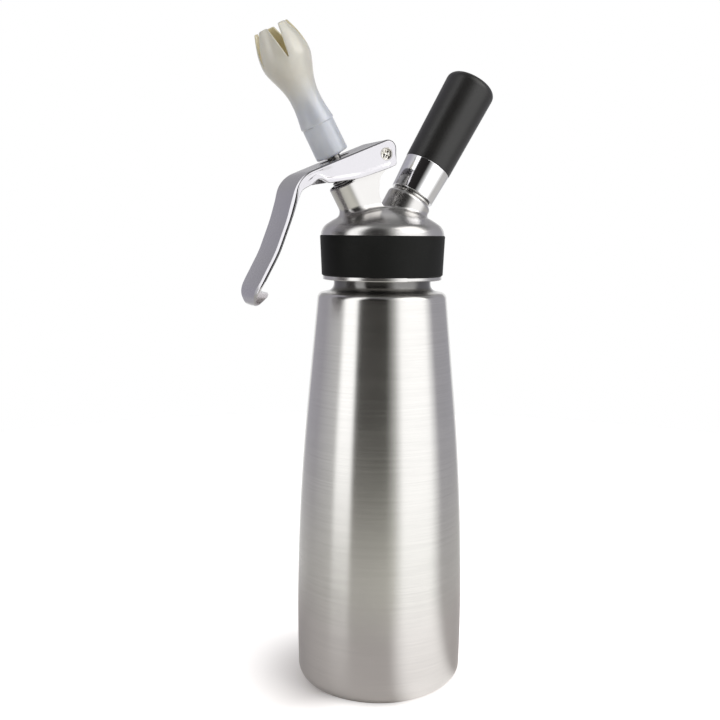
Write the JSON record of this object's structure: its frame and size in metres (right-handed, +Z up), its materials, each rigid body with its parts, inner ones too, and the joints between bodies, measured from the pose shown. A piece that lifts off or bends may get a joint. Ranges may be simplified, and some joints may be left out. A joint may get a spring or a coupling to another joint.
{
  "type": "whipped cream dispenser",
  "caption": "Steel whipped cream dispenser: a bottle with a screw-on head, a sprung lever valve with a tulip tip, and a screwed holder for a gas charger.",
  "frame": {"origin": "centre of the ring the bottle stands on", "axes": "+Z up along the bottle, -X towards the lever and the decorator tip, +X towards the charger holder, -Y the near side of the lever"},
  "size_m": [0.1404, 0.092, 0.3563],
  "materials": {
    "bottle_steel": "brushed, fine grain",
    "head_steel": "polished and softly brushed",
    "lever_metal": "satin casting with polished edges",
    "holder_chrome": "mirror bright",
    "bright_steel": "turned, bright",
    "spring_steel": "drawn wire",
    "pin_steel": "dished, polished",
    "charger_steel": "plain drawn steel",
    "band_silicone": "matte black",
    "seal_rubber": "matte",
    "bush_plastic": "black, satin",
    "sleeve_plastic": "fine-grained black",
    "washer_plastic": "natural white",
    "tip_plastic": "pearl white, slightly translucent"
  },
  "bodies": {
    "bottle": {"bottle": "bottle_steel"},
    "gasket": {"head_gasket": "seal_rubber"},
    "head": {"head_body": "head_steel", "grip_band": "band_silicone", "stem_seal": "seal_rubber", "stem_guide": "bush_plastic", "valve_spring": "spring_steel", "lever_pin": "pin_steel", "pin_cap": "pin_steel", "pivot_washers": "washer_plastic", "port_insert": "bright_steel", "port_ring": "seal_rubber", "piercing_needle": "bright_steel", "charger_gasket": "seal_rubber", "gas_filter": "bright_steel", "check_valve": "seal_rubber"},
    "lever": {"lever": "lever_metal"},
    "valve": {"valve_stem": "bright_steel", "valve_head": "bright_steel", "valve_seal": "seal_rubber"},
    "tip": {"decorator_tip": "tip_plastic", "tip_insert": "bright_steel", "tip_seal": "seal_rubber"},
    "charger": {"charger": "charger_steel"},
    "holder": {"holder_insert": "holder_chrome", "holder_sleeve": "sleeve_plastic", "charger_cushion": "seal_rubber"}
  },
  "joints": [
    {"name": "head_lift", "type": "slide", "parent": "bottle", "child": "gasket", "axis": [0, 0, 1], "range_m": [0, 0.12]},
    {"name": "head_turn", "type": "hinge", "parent": "gasket", "child": "head", "pos_m": [0, 0, 0.243], "axis": [0, 0, 1], "range_deg": [0, 1440]},
    {"name": "lever_press", "type": "hinge", "parent": "head", "child": "lever", "pos_m": [-0.0053, 0, 0.2907], "axis": [0, -1, 0], "range_deg": [0, 9], "stiffness_Nm_per_rad": 3, "springref_deg": -8.59},
    {"name": "valve_plunge", "type": "slide", "parent": "head", "child": "valve", "axis": [0.4772, 0, -0.8788], "range_m": [0, 0.0036], "deforming": ["valve_spring"]},
    {"name": "tip_lift", "type": "slide", "parent": "valve", "child": "tip", "axis": [-0.4772, 0, 0.8788], "range_m": [0, 0.03]},
    {"name": "holder_lift", "type": "slide", "parent": "head", "child": "charger", "axis": [0.5075, 0, 0.8616], "range_m": [0, 0.085]},
    {"name": "holder_turn", "type": "hinge", "parent": "charger", "child": "holder", "pos_m": [0, 0, 0.2411], "axis": [0.5075, 0, 0.8616], "range_deg": [0, 1800]}
  ],
  "couplings": [
    {"joint": "valve_plunge", "follows": "lever_press", "m_per_rad": 0.02162}
  ]
}
